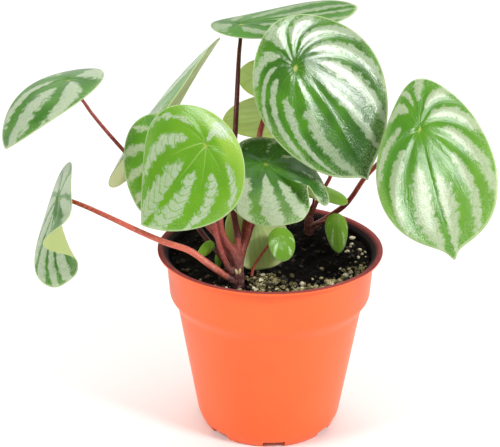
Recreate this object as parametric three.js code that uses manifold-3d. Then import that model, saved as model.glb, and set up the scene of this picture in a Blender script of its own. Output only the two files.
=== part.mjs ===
// Potted peperomia: a thin plastic nursery pot, its soil, two crowns and sixteen leaves.
// Millimetres, +Z up. The origin is the centre of the pot's base, and the front is -Y.
// Each leaf is a closed blade with its own red petiole. One formula shapes every blade.
import * as THREE from "three";
import { mergeVertices } from "three/addons/utils/BufferGeometryUtils.js";
import Module from "manifold-3d";

const wasm = await Module();
wasm.setup();
const { Manifold, Mesh } = wasm;

// Gap between neighbouring solids. A petiole ends a little further from its curved blade.
const GAP = 0.32;
const JOINT_GAP = 0.42;

// Pot: outer radii and heights from the base to the rim
const RIM_R = 60;
const RIM_TOP = 102.2;
const RIM_LIP = 1.9;
const COLLAR_TOP_R = 55.6;
const COLLAR_LOW_R = 53.8;
const COLLAR_LOW = 76.3;
const BODY_TOP_R = 49.8;
const BODY_TOP = 70.6;
const BODY_LOW_R = 38.8;
const BODY_LOW = 6.2;
const BASE_R = 35.6;
const WALL = 1.2;
const FLOOR = 1.4;
const POT_SIDES = 48;

// Drain recesses in the edge of the base
const DRAINS = 7;
const DRAIN_TURN = 17;
const DRAIN_WIDE = 12;
const DRAIN_HIGH = 3.4;
const DRAIN_REACH = 26;
const DRAIN_SLOT = 7;

// Soil: level at the middle, slope towards the back, lumps and grains
const SOIL_LEVEL = 96;
const SOIL_SLOPE = 0.03;
const SOIL_LUMP = 0.7;
const MOUND = { x: -4, y: -31, high: 2.2, wide: 7 };
const GRAINS = 44;

// Blades and petioles
const BLADE = 1.0;
const STEM_SIDES = 8;
const STEP = 7;
const APPROACH = 5;

const material = (hex, roughness) => new THREE.MeshStandardMaterial({ color: hex, roughness });
const ORANGE = "#f4753e";
const SOIL_BROWN = "#2b2018";
const STEM_RED = "#9c3f36";
const LEAF_GREEN = "#5b9a3c";
const LEAF_PALE = "#b9c98a";

const rad = THREE.MathUtils.degToRad;
const v3 = (a) => new THREE.Vector3(a[0], a[1], a[2]);
const wrap = (a) => Math.atan2(Math.sin(a), Math.cos(a));

function seeded(seed) {
  let s = seed;
  return () => {
    s = (s * 1664525 + 1013904223) % 4294967296;
    return s / 4294967296;
  };
}

// A closed geometry as a solid that can be joined and cut
function solidOf(geometry) {
  const bare = geometry.clone();
  bare.deleteAttribute("normal");
  bare.deleteAttribute("uv");
  const merged = mergeVertices(bare, 1e-4);
  const index = Array.from(merged.index.array);
  const triVerts = [];
  for (let i = 0; i < index.length; i += 3) {
    const [a, b, c] = index.slice(i, i + 3);
    if (a !== b && b !== c && c !== a) triVerts.push(a, b, c);
  }
  return new Manifold(new Mesh({
    numProp: 3,
    vertProperties: new Float32Array(merged.attributes.position.array),
    triVerts: new Uint32Array(triVerts),
  }));
}

function geometryOf(solid) {
  const mesh = solid.getMesh();
  const geo = new THREE.BufferGeometry();
  geo.setAttribute("position", new THREE.BufferAttribute(new Float32Array(mesh.vertProperties), 3));
  geo.setIndex(Array.from(mesh.triVerts));
  return geo;
}

const root = new THREE.Group();
root.name = "potted_peperomia";

function add(name, geo, mat) {
  const flat = geo.index ? geo.toNonIndexed() : geo;
  flat.computeVertexNormals();
  const mesh = new THREE.Mesh(flat, mat);
  mesh.name = name;
  root.add(mesh);
}

// A profile of radii and heights, turned about Z
function turned(profile, sides) {
  const points = profile.map(([r, z]) => new THREE.Vector2(r, z));
  return new THREE.LatheGeometry(points, sides).rotateX(Math.PI / 2);
}

// POT
// A stepped wall with a rolled lip. Its base is flat, with drain recesses cut into its edge.
const outerProfile = [
  [0, 0], [BASE_R, 0], [BODY_LOW_R, BODY_LOW], [BODY_TOP_R, BODY_TOP], [COLLAR_LOW_R, COLLAR_LOW],
  [COLLAR_TOP_R, RIM_TOP - RIM_LIP - 1.8], [RIM_R - 1.2, RIM_TOP - RIM_LIP - 0.3],
  [RIM_R, RIM_TOP - RIM_LIP + 0.4], [RIM_R, RIM_TOP - 0.7], [RIM_R - 0.8, RIM_TOP], [0, RIM_TOP],
];
const collarSlope = (COLLAR_TOP_R - COLLAR_LOW_R) / (RIM_TOP - RIM_LIP - 1.8 - COLLAR_LOW);
const bodySlope = (BODY_TOP_R - BODY_LOW_R) / (BODY_TOP - BODY_LOW);

// Inner wall radius at a height, used by the pot and by the soil
function innerRadius(z) {
  if (z <= BODY_LOW) return BASE_R - WALL + ((BODY_LOW_R - BASE_R) * z) / BODY_LOW;
  if (z <= BODY_TOP) return BODY_LOW_R - WALL + (z - BODY_LOW) * bodySlope;
  if (z <= COLLAR_LOW) {
    const t = (z - BODY_TOP) / (COLLAR_LOW - BODY_TOP);
    return BODY_TOP_R - WALL + (COLLAR_LOW_R - BODY_TOP_R) * t;
  }
  return COLLAR_LOW_R - WALL + (z - COLLAR_LOW) * collarSlope;
}

const MOUTH = 98.6;
const wallHeights = [FLOOR, BODY_LOW, BODY_TOP, COLLAR_LOW, MOUTH];
const innerProfile = [
  [0, FLOOR],
  ...wallHeights.map((z) => [innerRadius(z), z]),
  [RIM_R - 2.9, RIM_TOP - 0.8], [RIM_R - 2.2, RIM_TOP], [RIM_R - 2.2, RIM_TOP + 1], [0, RIM_TOP + 1],
];
const outerPot = solidOf(turned(outerProfile, POT_SIDES));
const hollow = solidOf(turned(innerProfile, POT_SIDES));

function drainBlock(from, to, wide, low, high, turn) {
  const block = new THREE.BoxGeometry(to - from, wide, high - low)
    .translate((from + to) / 2, 0, (low + high) / 2)
    .rotateZ(rad(turn));
  return solidOf(block);
}

let pot = outerPot.subtract(hollow);
for (let i = 0; i < DRAINS; i++) {
  const turn = DRAIN_TURN + (i * 360) / DRAINS;
  const shoulder = drainBlock(DRAIN_REACH - WALL, 44, DRAIN_WIDE + 2 * WALL, 0, DRAIN_HIGH + WALL, turn);
  pot = pot.add(shoulder.intersect(outerPot));
}
for (let i = 0; i < DRAINS; i++) {
  const turn = DRAIN_TURN + (i * 360) / DRAINS;
  pot = pot.subtract(drainBlock(DRAIN_REACH, 44, DRAIN_WIDE, -1, DRAIN_HIGH, turn));
  pot = pot.subtract(drainBlock(DRAIN_REACH + 2, DRAIN_REACH + 7, DRAIN_SLOT, 1, DRAIN_HIGH + 3, turn));
}
add("pot", geometryOf(pot), material(ORANGE, 0.45));

// LEAF FORMULA
// x runs from the petiole joint to the tip, y to the side, z out of the upper face
const LEAF_BASE = {
  foot: 0.3, ovate: 0.2, drip: 0.4, across: 24, along: 12, twist: 0,
  wave: 0.8, phase: 0, sweep: 0, lop: 0, full: 0, ruffles: [], ring: 28, rings: 5, thick: BLADE,
};
const DRIP_SPREAD = 0.42;
const WAVES = 3;

function leafOutline(leaf, t) {
  const c = Math.cos(t);
  const s = Math.sin(t);
  const x = leaf.length * (0.5 * c + 0.5 - leaf.foot);
  const narrow = 1 - leaf.drip * Math.exp(-((wrap(t) / DRIP_SPREAD) ** 2));
  const egg = (1 - leaf.ovate * c) * (1 + leaf.lop * s) * (1 + leaf.full * c * c);
  const y = (leaf.width / 2) * s * egg * narrow + (leaf.sweep * x * Math.abs(x)) / leaf.length ** 2;
  let pull = 1;
  for (const [turn, spread, , inward] of leaf.ruffles) {
    pull -= inward * Math.exp(-((wrap(t - rad(turn)) / rad(spread)) ** 2));
  }
  return [x * pull, y * pull];
}

function leafPoint(leaf, rho, t) {
  const [xo, yo] = leafOutline(leaf, t);
  const x = rho * xo;
  const y = rho * yo;
  const kw = rad(leaf.across) / leaf.width;
  const kl = rad(leaf.along) / leaf.length;
  let h = -(1 - Math.cos(kw * y)) / kw + leaf.wave * rho ** 2.2 * Math.sin(WAVES * t + rad(leaf.phase));
  for (const [turn, spread, lift] of leaf.ruffles) {
    h += lift * rho ** 2.2 * Math.exp(-((wrap(t - rad(turn)) / rad(spread)) ** 2));
  }
  const side = Math.sin(kw * y) / kw;
  const tw = (rad(leaf.twist) * x) / leaf.length;
  const yy = side * Math.cos(tw) - h * Math.sin(tw);
  const hh = side * Math.sin(tw) + h * Math.cos(tw);
  const a = kl * x;
  return new THREE.Vector3(
    Math.sin(a) / kl + hh * Math.sin(a),
    yy,
    -(1 - Math.cos(a)) / kl + hh * Math.cos(a),
  );
}

function leafFrame(leaf) {
  const psi = rad(leaf.heading);
  const dip = rad(leaf.dip);
  const roll = rad(leaf.roll);
  const level = Math.cos(dip);
  const tip = new THREE.Vector3(level * Math.cos(psi), level * Math.sin(psi), -Math.sin(dip));
  const side0 = new THREE.Vector3(-Math.sin(psi), Math.cos(psi), 0);
  const up0 = new THREE.Vector3().crossVectors(tip, side0);
  const side = side0.clone().multiplyScalar(Math.cos(roll)).addScaledVector(up0, Math.sin(roll));
  const up = up0.clone().multiplyScalar(Math.cos(roll)).addScaledVector(side0, -Math.sin(roll));
  return { tip, side, up };
}

function bladeGeometry(leaf) {
  const frame = leafFrame(leaf);
  const place = (p) => v3(leaf.at)
    .addScaledVector(frame.tip, p.x)
    .addScaledVector(frame.side, p.y)
    .addScaledVector(frame.up, p.z);
  const n = leaf.ring;
  const middle = [place(leafPoint(leaf, 0, 0))];
  for (let k = 1; k <= leaf.rings; k++) {
    const rho = (k / leaf.rings) ** 0.8;
    for (let i = 0; i < n; i++) middle.push(place(leafPoint(leaf, rho, (2 * Math.PI * i) / n)));
  }
  const faces = [];
  for (let i = 0; i < n; i++) {
    const j = (i + 1) % n;
    faces.push([0, 1 + i, 1 + j]);
    for (let k = 0; k < leaf.rings - 1; k++) {
      const a = 1 + k * n + i;
      const b = 1 + k * n + j;
      faces.push([a, a + n, b + n], [a, b + n, b]);
    }
  }
  const normals = middle.map(() => new THREE.Vector3());
  for (const [a, b, c] of faces) {
    const u = middle[b].clone().sub(middle[a]);
    const w = middle[c].clone().sub(middle[a]);
    const cross = u.cross(w);
    for (const i of [a, b, c]) normals[i].add(cross);
  }
  normals.forEach((m) => m.normalize());
  const half = leaf.thick / 2;
  const top = middle.map((p, i) => p.clone().addScaledVector(normals[i], half));
  const below = middle.map((p, i) => p.clone().addScaledVector(normals[i], -half));
  const count = middle.length;
  const index = [];
  for (const [a, b, c] of faces) index.push(a, b, c, count + a, count + c, count + b);
  const edge = 1 + (leaf.rings - 1) * n;
  for (let i = 0; i < n; i++) {
    const a = edge + i;
    const b = edge + ((i + 1) % n);
    index.push(a, count + a, count + b, a, count + b, b);
  }
  return new THREE.BufferGeometry().setFromPoints([...top, ...below]).setIndex(index);
}

// STEMS
// A stretch of a longer line, so that a stub and its petiole follow the same one
class Stretch extends THREE.Curve {
  constructor(line, from, to) {
    super();
    this.line = line;
    this.from = from;
    this.to = to;
  }

  getPoint(t, target) {
    return this.line.getPointAt(Math.min(this.from + (this.to - this.from) * t, 1), target);
  }
}

// A round stem along the line, from one distance to another, thinning as it goes
function stem(line, from, to, thickEnd, thinEnd, sides) {
  const length = line.getLength();
  const stretch = new Stretch(line, from / length, to / length);
  const steps = Math.max(3, Math.round((to - from) / STEP));
  const corners = [];
  for (let k = 0; k < sides; k++) {
    const a = (2 * Math.PI * k) / sides;
    corners.push(new THREE.Vector2(thickEnd * Math.cos(a), thickEnd * Math.sin(a)));
  }
  const section = new THREE.Shape(corners);
  const geo = new THREE.ExtrudeGeometry(section, { steps, extrudePath: stretch, bevelEnabled: false });

  // Each ring of points moves in to its own radius, about the nearest point of the line
  const centres = stretch.getSpacedPoints(steps);
  const at = geo.attributes.position;
  const point = new THREE.Vector3();
  for (let i = 0; i < at.count; i++) {
    point.fromBufferAttribute(at, i);
    const away = centres.map((c) => c.distanceTo(point));
    const ring = away.indexOf(Math.min(...away));
    const along = (from + ((to - from) * ring) / steps) / length;
    const radius = thickEnd + (thinEnd - thickEnd) * along;
    point.sub(centres[ring]).setLength(radius).add(centres[ring]);
    at.setXYZ(i, point.x, point.y, point.z);
  }
  return geo;
}

// LEAVES
// at: the petiole joint. heading, dip and roll turn the tip and the face.
// route: the petiole's line from its crown. stub: the length that stays with the crown.
const LEAVES = [
  {
    name: "far_left", at: [-104, 0, 193.5], heading: -138, dip: 16, roll: 9,
    length: 67, width: 53, foot: 0.25, ovate: 0.23, drip: 0.37, across: 13, along: 45, twist: 6, sweep: 3,
    crown: "front", stub: 9, radii: [1.5, 0.8],
    route: [[-17, -35, 105], [-22, -32, 112], [-28, -26.5, 119], [-36, -21, 126], [-46, -16, 134],
      [-57.3, -14, 139.2], [-67.7, -9.5, 149.3], [-77.1, -4.6, 158.3], [-85.9, -1, 167.5], [-93, 1, 176.1],
      [-97.1, 2, 182]],
  },
  {
    name: "low_left", at: [-107.5, -30, 140.5], heading: -110, dip: 63, roll: 51,
    length: 64, width: 52, foot: 0.3, ovate: 0.16, drip: 0.38, across: 14, along: 31, twist: -50,
    wave: -2.2, phase: -20, sweep: -3.6, lop: 0.04, ruffles: [[69.5, 19, 23.5, 0], [57, 11, -8.5, 0.05]],
    ring: 48, rings: 6,
    crown: "front", stub: 5, radii: [1.9, 1.1],
    route: [[-17, -36, 97], [-19.5, -36, 98.5], [-24, -37, 102], [-32, -38, 108.5], [-41.1, -38, 115.5],
      [-53.7, -38, 120.2], [-66.2, -38, 125.9], [-81.2, -37, 133.1], [-94, -34, 138]],
  },
  {
    name: "back_left", at: [-69.8, 35, 154], heading: 34, dip: -50, roll: -45,
    length: 101, width: 69, foot: 0.34, ovate: 0.22, across: 16, along: 20, twist: 9, wave: -0.5,
    phase: 63, lop: -0.18, ruffles: [[-92, 50, -7, -0.03], [90, 48, -4, 0]], ring: 32,
    crown: "front", stub: 8, radii: [1.5, 1.1],
    route: [[-17, -34, 100], [-22, -29, 104], [-28, -22, 108.5], [-37, -13, 116.5], [-46, -3, 127],
      [-54, 10, 137], [-60, 24, 146]],
  },
  {
    name: "top", at: [-17, 45, 211.2], heading: 10, dip: -5.7, roll: -3.5,
    length: 80, width: 64, foot: 0.19, ovate: 0.21, drip: 0.42, across: 15.2, along: -2.1, twist: 7.1,
    wave: 0.7, phase: -44, sweep: 1.4, lop: 0.06, full: -0.06,
    crown: "front", stub: 10, radii: [1.8, 1.0],
    route: [[-17.3, -34.5, 109], [-17, -34, 116], [-17, -33, 121.5], [-18.5, -28, 128], [-20.5, -19, 138.5],
      [-20.5, -9, 151.5], [-19, -1, 162.5], [-18, 8, 180], [-17.5, 20, 191], [-17, 34, 199]],
  },
  {
    name: "center", at: [16.7, 0, 201.3], heading: -20, dip: 51.5, roll: 45.5,
    length: 91.5, width: 71.7, foot: 0.295, ovate: 0.13, drip: 0.83, across: 25, along: 7.5, twist: 0.5,
    wave: -0.34, phase: 110, sweep: -12, lop: 0.05, full: -0.21, ruffles: [[0, 12, 0, -0.03]], ring: 32,
    crown: "front", stub: 11, radii: [1.8, 1.3],
    route: [[-16.5, -34, 106], [-15, -29, 111], [-14, -25.5, 119], [-12, -20, 129], [-9.5, -12, 137.5],
      [-8.5, 0, 145], [-7, 11, 152], [-5.5, 17.5, 161], [-2, 17, 172], [6, 12, 187]],
  },
  {
    name: "right", at: [74.8, -25, 175.8], heading: -89.7, dip: 50.4, roll: 33.7,
    length: 92.4, width: 62.9, foot: 0.31, ovate: -0.18, drip: 0.62, across: 22.5, along: 10, twist: -9.7,
    wave: -0.3, phase: 117, sweep: 24, lop: 0.1, full: -0.16, ruffles: [[0, 10, 0, -0.06]], ring: 32,
    crown: "rear", stub: 7, radii: [1.6, 1.1],
    route: [[22, 29, 100], [29, 31, 104], [36, 30, 109.5], [41, 26, 115.5], [45, 20, 124], [50, 11, 137],
      [60, -4, 155], [70, -14, 166.5]],
  },
  {
    name: "front", at: [-33.9, -48, 176.2], heading: 179.6, dip: 59, roll: -53.6,
    length: 70, width: 62.8, foot: 0.22, ovate: 0.31, drip: 0.57, across: 23.6, along: 9, twist: 12.8,
    wave: 2, phase: 70, sweep: -10.4, full: -0.12,
    crown: "front", stub: 10, radii: [2.0, 1.2],
    route: [[-17, -35, 108], [-19, -35, 113.5], [-22, -35, 118], [-25, -34, 123.5], [-26, -34, 130],
      [-25, -34, 147], [-27, -36.5, 162]],
  },
  {
    name: "front_rear", at: [-43.9, -30.3, 166.2], heading: -177.3, dip: 56, roll: -58.8,
    length: 54.2, width: 60.8, foot: 0.26, ovate: 0.2, drip: 0.44, across: 25.5, along: 12.4, twist: -1.2,
    wave: 0.45, phase: 34, sweep: -4.8, lop: -0.04, full: -0.12, ruffles: [[106, 40, 0, 0.62]],
    crown: "front", stub: 7, radii: [1.4, 1.0],
    route: [[-17, -36, 102], [-21, -37.2, 105], [-23.5, -38.3, 111], [-26.5, -38.5, 120], [-29, -37, 130],
      [-34, -28, 145], [-38, -22, 158]],
  },
  {
    name: "middle", at: [-3.5, -10, 152], heading: -57, dip: 21, roll: 9,
    length: 66, width: 54, foot: 0.35, ovate: 0.04, drip: 0.37, across: 50, along: 7, twist: 5,
    wave: -1.2, phase: -94, sweep: -7.4, lop: -0.04,
    ruffles: [[30, 6, 10.3, 0.17], [48, 21, -3.2, -0.11], [29, 19, 0, 0.11], [-140, 24, 0, 0.42]],
    ring: 56, rings: 6,
    crown: "front", stub: 10, radii: [1.5, 1.1],
    route: [[-16.5, -34, 109], [-15, -32, 114], [-13, -30, 118.5], [-11, -27, 125.5], [-8.5, -19, 134.5],
      [-5.5, -12.5, 143]],
  },
  {
    name: "behind_upper", at: [-8.5, 38, 184], heading: -4, dip: 2, roll: -86,
    length: 42, width: 23, foot: 0.22, pale: true, ring: 22, rings: 4,
    crown: "rear", stub: 9, radii: [1.1, 0.8],
    route: [[21, 29.5, 107], [20, 31.5, 118], [18, 33, 130], [12, 33, 150], [0, 31, 170], [-6, 31, 179]],
  },
  {
    name: "behind_lower", at: [7, 28, 167], heading: -178, dip: 5, roll: 82,
    length: 50, width: 28, foot: 0.34, pale: true, ring: 22, rings: 4,
    crown: "rear", stub: 9, radii: [1.2, 0.8],
    route: [[22, 28, 107], [25, 28, 115], [29.5, 29, 124], [33, 28, 133], [29, 23, 150], [19, 19, 161],
      [11, 20, 165.5]],
  },
  {
    name: "small_round", at: [5.6, -26, 118], heading: -81, dip: 50, roll: -18,
    length: 18, width: 15.5, foot: 0.31, ovate: 0.08, drip: 0.2, across: 23, along: 28, wave: 0.2,
    ring: 20, rings: 3,
    crown: "soil", radii: [0.9, 0.6],
    route: [[-9.8, -25, 88], [-9.8, -25, 96.5], [-8.9, -25, 100.5], [-5.2, -24.5, 107.2], [0, -23.3, 113.6]],
  },
  {
    name: "small_pointed", at: [35, 8, 116], heading: -77, dip: 56, roll: -8,
    length: 21.5, width: 13, foot: 0.08, ovate: 0.28, drip: 0.4, across: 35, along: 18, wave: 0.3,
    ring: 20, rings: 3,
    crown: "rear", stub: 5, radii: [0.9, 0.6],
    route: [[23, 28, 103], [27, 25, 105], [31, 19, 109], [33.5, 14, 112]],
  },
  {
    name: "hanging", at: [-7.7, -14, 126.1], heading: -57, dip: 74, roll: -165,
    length: 44, width: 37, foot: 0.25, across: 26, along: 8,
    ruffles: [[0, 35, 0, 0.12], [180, 40, 0, 0.3], [-115, 30, 0, 0.4]], pale: true, ring: 24, rings: 4,
    crown: "front", stub: 7, radii: [1.1, 0.8],
    route: [[-16.3, -34.5, 99], [-15.7, -30, 102.5], [-14.5, -26.5, 106.5], [-13.2, -24, 111],
      [-11.8, -22.3, 114.6], [-9.9, -20.2, 120.5]],
  },
  {
    name: "small_back", at: [23.5, 16, 128], heading: -17, dip: 2, roll: 6,
    length: 25, width: 17, foot: 0.22, across: 20, along: 40, wave: 0.5, ring: 20, rings: 3,
    crown: "rear", stub: 6, radii: [0.9, 0.6],
    route: [[22, 28.5, 108], [22.5, 26, 113.5], [23.5, 21, 118.5]],
  },
  {
    name: "small_folded", at: [-30.3, -27, 114.9], heading: -150, dip: 35, roll: -60,
    length: 11, width: 6, foot: 0.1, across: 60, along: 20, wave: 0.3, ring: 18, rings: 3,
    crown: "front", stub: 6, radii: [0.8, 0.5],
    route: [[-17, -35, 101.5], [-21.5, -32.5, 105.5], [-25, -28, 110.2], [-28.8, -24.6, 113.5]],
  },
].map((leaf) => ({ ...LEAF_BASE, ...leaf }));

const greenBlade = material(LEAF_GREEN, 0.35);
const paleBlade = material(LEAF_PALE, 0.5);
const redStem = material(STEM_RED, 0.5);
const crownPieces = { front: [], rear: [] };
const holes = [];

for (const leaf of LEAVES) {
  add(`leaf_${leaf.name}`, bladeGeometry(leaf), leaf.pale ? paleBlade : greenBlade);

  // The petiole meets the blade from below, square to it
  const { up } = leafFrame(leaf);
  const joint = v3(leaf.at);
  const under = leaf.thick / 2 + JOINT_GAP;
  const reach = Math.min(APPROACH, leaf.length * 0.1);
  const line = leaf.route.map(v3);
  line.push(joint.clone().addScaledVector(up, -reach), joint.clone().addScaledVector(up, -under));
  const curve = new THREE.CatmullRomCurve3(line, false, "centripetal");
  const length = curve.getLength();
  let from = 0;
  if (leaf.crown === "soil") {
    holes.push([...leaf.route[0], leaf.radii[0]]);
  } else {
    crownPieces[leaf.crown].push(solidOf(stem(curve, 0, leaf.stub, ...leaf.radii, STEM_SIDES)));
    from = leaf.stub + JOINT_GAP;
  }
  add(`petiole_${leaf.name}`, stem(curve, from, length, ...leaf.radii, STEM_SIDES), redStem);
}

// CROWNS
// Short fleshy necks that the petioles grow out of, rooted in plain holes in the soil
const NECKS = {
  front: {
    line: [[-16.3, -36, 84], [-16.3, -36, 95], [-16.6, -35.4, 103], [-17, -34.6, 110.5]],
    radii: [3.4, 2.6],
  },
  rear: {
    line: [[21.5, 29, 85], [21.5, 29, 97], [21.7, 29, 104], [21.7, 29, 110]],
    radii: [3.3, 2.3],
  },
};
const NECK_SIDES = 12;
for (const [name, neck] of Object.entries(NECKS)) {
  const line = new THREE.CatmullRomCurve3(neck.line.map(v3));
  let crown = solidOf(stem(line, 0, line.getLength(), ...neck.radii, NECK_SIDES));
  for (const piece of crownPieces[name]) crown = crown.add(piece);
  add(`crown_${name}`, geometryOf(crown), redStem);
  holes.push([...neck.line[0], neck.radii[0]]);
}

// BUD
// A green shoot just breaking the soil beside the front crown
const BUD_X = -27.3;
const BUD_Y = -15;
const budProfile = [[0, 90], [1.2, 90], [1.2, 96], [1.9, 99.5], [1.8, 102.5], [1, 105.2], [0, 106.5]];
add("bud", turned(budProfile, 10).translate(BUD_X, BUD_Y, 0), greenBlade);
holes.push([BUD_X, BUD_Y, 90, 1.2]);

// SOIL
// Fills the pot to just under the rim. Lumps come from a formula, grains from a seeded draw.
function soilTop(x, y) {
  const lumps = Math.sin(x * 0.31 + 1.3) * Math.cos(y * 0.27 - 0.4) + 0.6 * Math.sin(x * 0.62 - y * 0.55);
  const d2 = ((x - MOUND.x) ** 2 + (y - MOUND.y) ** 2) / MOUND.wide ** 2;
  return SOIL_LEVEL + SOIL_SLOPE * y + SOIL_LUMP * lumps + MOUND.high * Math.exp(-d2);
}
const SOIL_EDGE = 94;
const SHOULDER = DRAIN_HIGH + WALL + GAP;
const soilHeights = [SHOULDER, BODY_LOW, BODY_TOP, COLLAR_LOW, SOIL_EDGE - 3];
const soilWall = soilHeights.map((z) => [innerRadius(z) - GAP - 0.1, z]);
const lipRadius = innerRadius(SOIL_EDGE) - GAP - 0.3;
const soilProfile = [
  [0, FLOOR + GAP], [DRAIN_REACH - WALL - GAP, FLOOR + GAP], [DRAIN_REACH - WALL - GAP, SHOULDER],
  ...soilWall,
  ...[1, 0.95, 0.78, 0.58, 0.38, 0.18, 0].map((f) => [lipRadius * f, SOIL_LEVEL]),
];
const soilBody = turned(soilProfile, POT_SIDES);
const soilAt = soilBody.attributes.position;
for (let i = 0; i < soilAt.count; i++) {
  if (soilAt.getZ(i) > SOIL_EDGE) soilAt.setZ(i, soilTop(soilAt.getX(i), soilAt.getY(i)));
}
let soil = solidOf(soilBody);
const draw = seeded(7);
for (let i = 0; i < GRAINS; i++) {
  const r = 50 * Math.sqrt(draw());
  const a = 2 * Math.PI * draw();
  const x = r * Math.cos(a);
  const y = r * Math.sin(a);
  const size = 1.1 + 1.3 * draw();
  const clear = holes.every(([hx, hy, , hr]) => Math.hypot(x - hx, y - hy) > hr + size + 1.6);
  if (!clear) continue;
  const grain = new THREE.OctahedronGeometry(1)
    .scale(size * 1.3, size, size * 0.8)
    .rotateZ(2 * Math.PI * draw())
    .translate(x, y, soilTop(x, y) + size * 0.2);
  soil = soil.add(solidOf(grain));
}
const HOLE_DEEP = 30;
for (const [x, y, z, r] of holes) {
  const wide = r + GAP + 0.15;
  const hole = new THREE.CylinderGeometry(wide, wide, HOLE_DEEP, 16)
    .rotateX(Math.PI / 2)
    .translate(x, y, z - GAP + HOLE_DEEP / 2);
  soil = soil.subtract(solidOf(hole));
}
add("soil", geometryOf(soil), material(SOIL_BROWN, 0.95));

export default root;
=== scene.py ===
"""A potted peperomia: striped leaves on red stalks, in a thin orange nursery pot."""
import math
from random import Random
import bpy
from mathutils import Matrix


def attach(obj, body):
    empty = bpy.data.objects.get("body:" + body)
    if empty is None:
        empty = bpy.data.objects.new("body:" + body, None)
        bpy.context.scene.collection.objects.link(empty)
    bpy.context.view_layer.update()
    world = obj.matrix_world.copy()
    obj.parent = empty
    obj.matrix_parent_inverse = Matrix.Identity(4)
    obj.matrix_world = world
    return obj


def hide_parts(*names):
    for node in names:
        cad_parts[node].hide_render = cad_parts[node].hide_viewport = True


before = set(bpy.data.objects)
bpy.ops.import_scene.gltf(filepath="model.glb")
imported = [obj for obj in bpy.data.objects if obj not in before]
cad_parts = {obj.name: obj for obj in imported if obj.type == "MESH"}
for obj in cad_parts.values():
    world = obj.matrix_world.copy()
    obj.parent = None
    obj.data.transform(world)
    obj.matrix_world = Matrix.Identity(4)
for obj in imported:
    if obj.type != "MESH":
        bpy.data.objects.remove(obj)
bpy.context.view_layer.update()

from types import SimpleNamespace

import bmesh
import bpy
from mathutils import Matrix, Vector, noise

MM = 0.001

# THE POT
# A thin nursery pot, injection moulded in orange polypropylene: a tapered body, a wider collar
# that lets pots stack, and a turned-out lip. Drain recesses are let into the edge of the base.
RIM_R, RIM_TOP, LIP_HIGH, INSIDE_R = 60, 102.2, 1.9, 57.8
LIP_LOW = RIM_TOP - LIP_HIGH
LIP_FACE = RIM_TOP - 0.35
COLLAR_TOP_R, COLLAR_LOW_R, COLLAR_TOP, COLLAR_LOW = 55.6, 53.8, LIP_LOW - 1, 76.3
BODY_TOP_R, BODY_TOP = 49.8, 70.6
BODY_LOW_R, BODY_LOW, BASE_R = 38.8, 6.2, 35.6
WALL, FLOOR = 1.2, 1.4
SHELF_R, SHELF_HIGH = 24.8, 4.6
POT_STEPS = 192
DRAINS, DRAIN_TURN, DRAIN_WIDE, DRAIN_HIGH, DRAIN_REACH, DRAIN_OUT = 7, 17, 12, 3.4, 26, 44
SLOT_WIDE, SLOT_IN, SLOT_OUT = 7, 28, 33


def linear(hex_colour):
    """The linear colour of an sRGB hex value, with an alpha of 1."""
    parts = [int(hex_colour[i:i + 2], 16) / 255 for i in (1, 3, 5)]
    return (*((p / 12.92) if p <= 0.04045 else ((p + 0.055) / 1.055) ** 2.4 for p in parts), 1)


def add(tree, kind, values=(), **settings):
    """Adds a node. A node or a socket is linked, a hex colour made linear, and the rest set."""
    made = tree.nodes.new(kind)
    for key, value in settings.items():
        setattr(made, key, value)
    for key, value in dict(values).items():
        if isinstance(value, bpy.types.Node):
            value = next(socket for socket in value.outputs if socket.enabled)
        if isinstance(value, bpy.types.NodeSocket):
            tree.links.new(value, made.inputs[key])
        else:
            made.inputs[key].default_value = linear(value) if isinstance(value, str) else value
    return made


def new_finish(name):
    """A material with an empty node tree, and the place on the object that patterns read."""
    finish = bpy.data.materials.new(name)
    finish.use_nodes = True
    tree = finish.node_tree
    tree.nodes.clear()
    return finish, tree, add(tree, "ShaderNodeTexCoord").outputs["Object"]


def close_finish(tree, values):
    """Ends a finish with its shader."""
    shader = add(tree, "ShaderNodeBsdfPrincipled", values)
    add(tree, "ShaderNodeOutputMaterial", {"Surface": shader})


def layer(tree, under, over, value, low=0, high=1, most=1, kind="LINEAR"):
    """Lays one colour over another, from not at all at the low value to most at the high one."""
    share = add(tree, "ShaderNodeMapRange", {"Value": value, "From Min": low, "From Max": high,
                                             "To Max": most}, interpolation_type=kind)
    return add(tree, "ShaderNodeMix", {"Factor": share, "A": under, "B": over}, data_type="RGBA")


def put_in_scene(name, data):
    """An object in the scene, made of a mesh, a lamp or a camera."""
    made = bpy.data.objects.new(name, data)
    bpy.context.scene.collection.objects.link(made)
    return made


def put_mesh(name, bm, scale=MM):
    """Turns a bmesh, in millimetres unless it says otherwise, into an object in metres."""
    bmesh.ops.scale(bm, vec=(scale, scale, scale), verts=bm.verts)
    mesh = bpy.data.meshes.new(name)
    bm.to_mesh(mesh)
    bm.free()
    return put_in_scene(name, mesh)


def make_piece(bm, name, finishes, nodes=(), sharp=40):
    """Turns a bmesh in millimetres into a piece that rides on the part."""
    piece = put_mesh(name, bm)
    piece.data.shade_smooth()
    piece.data.set_sharp_from_angle(angle=math.radians(sharp))
    for finish in finishes:
        piece.data.materials.append(finish)
    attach(piece, "root")
    if nodes:
        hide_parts(*nodes)
    return piece


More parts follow.
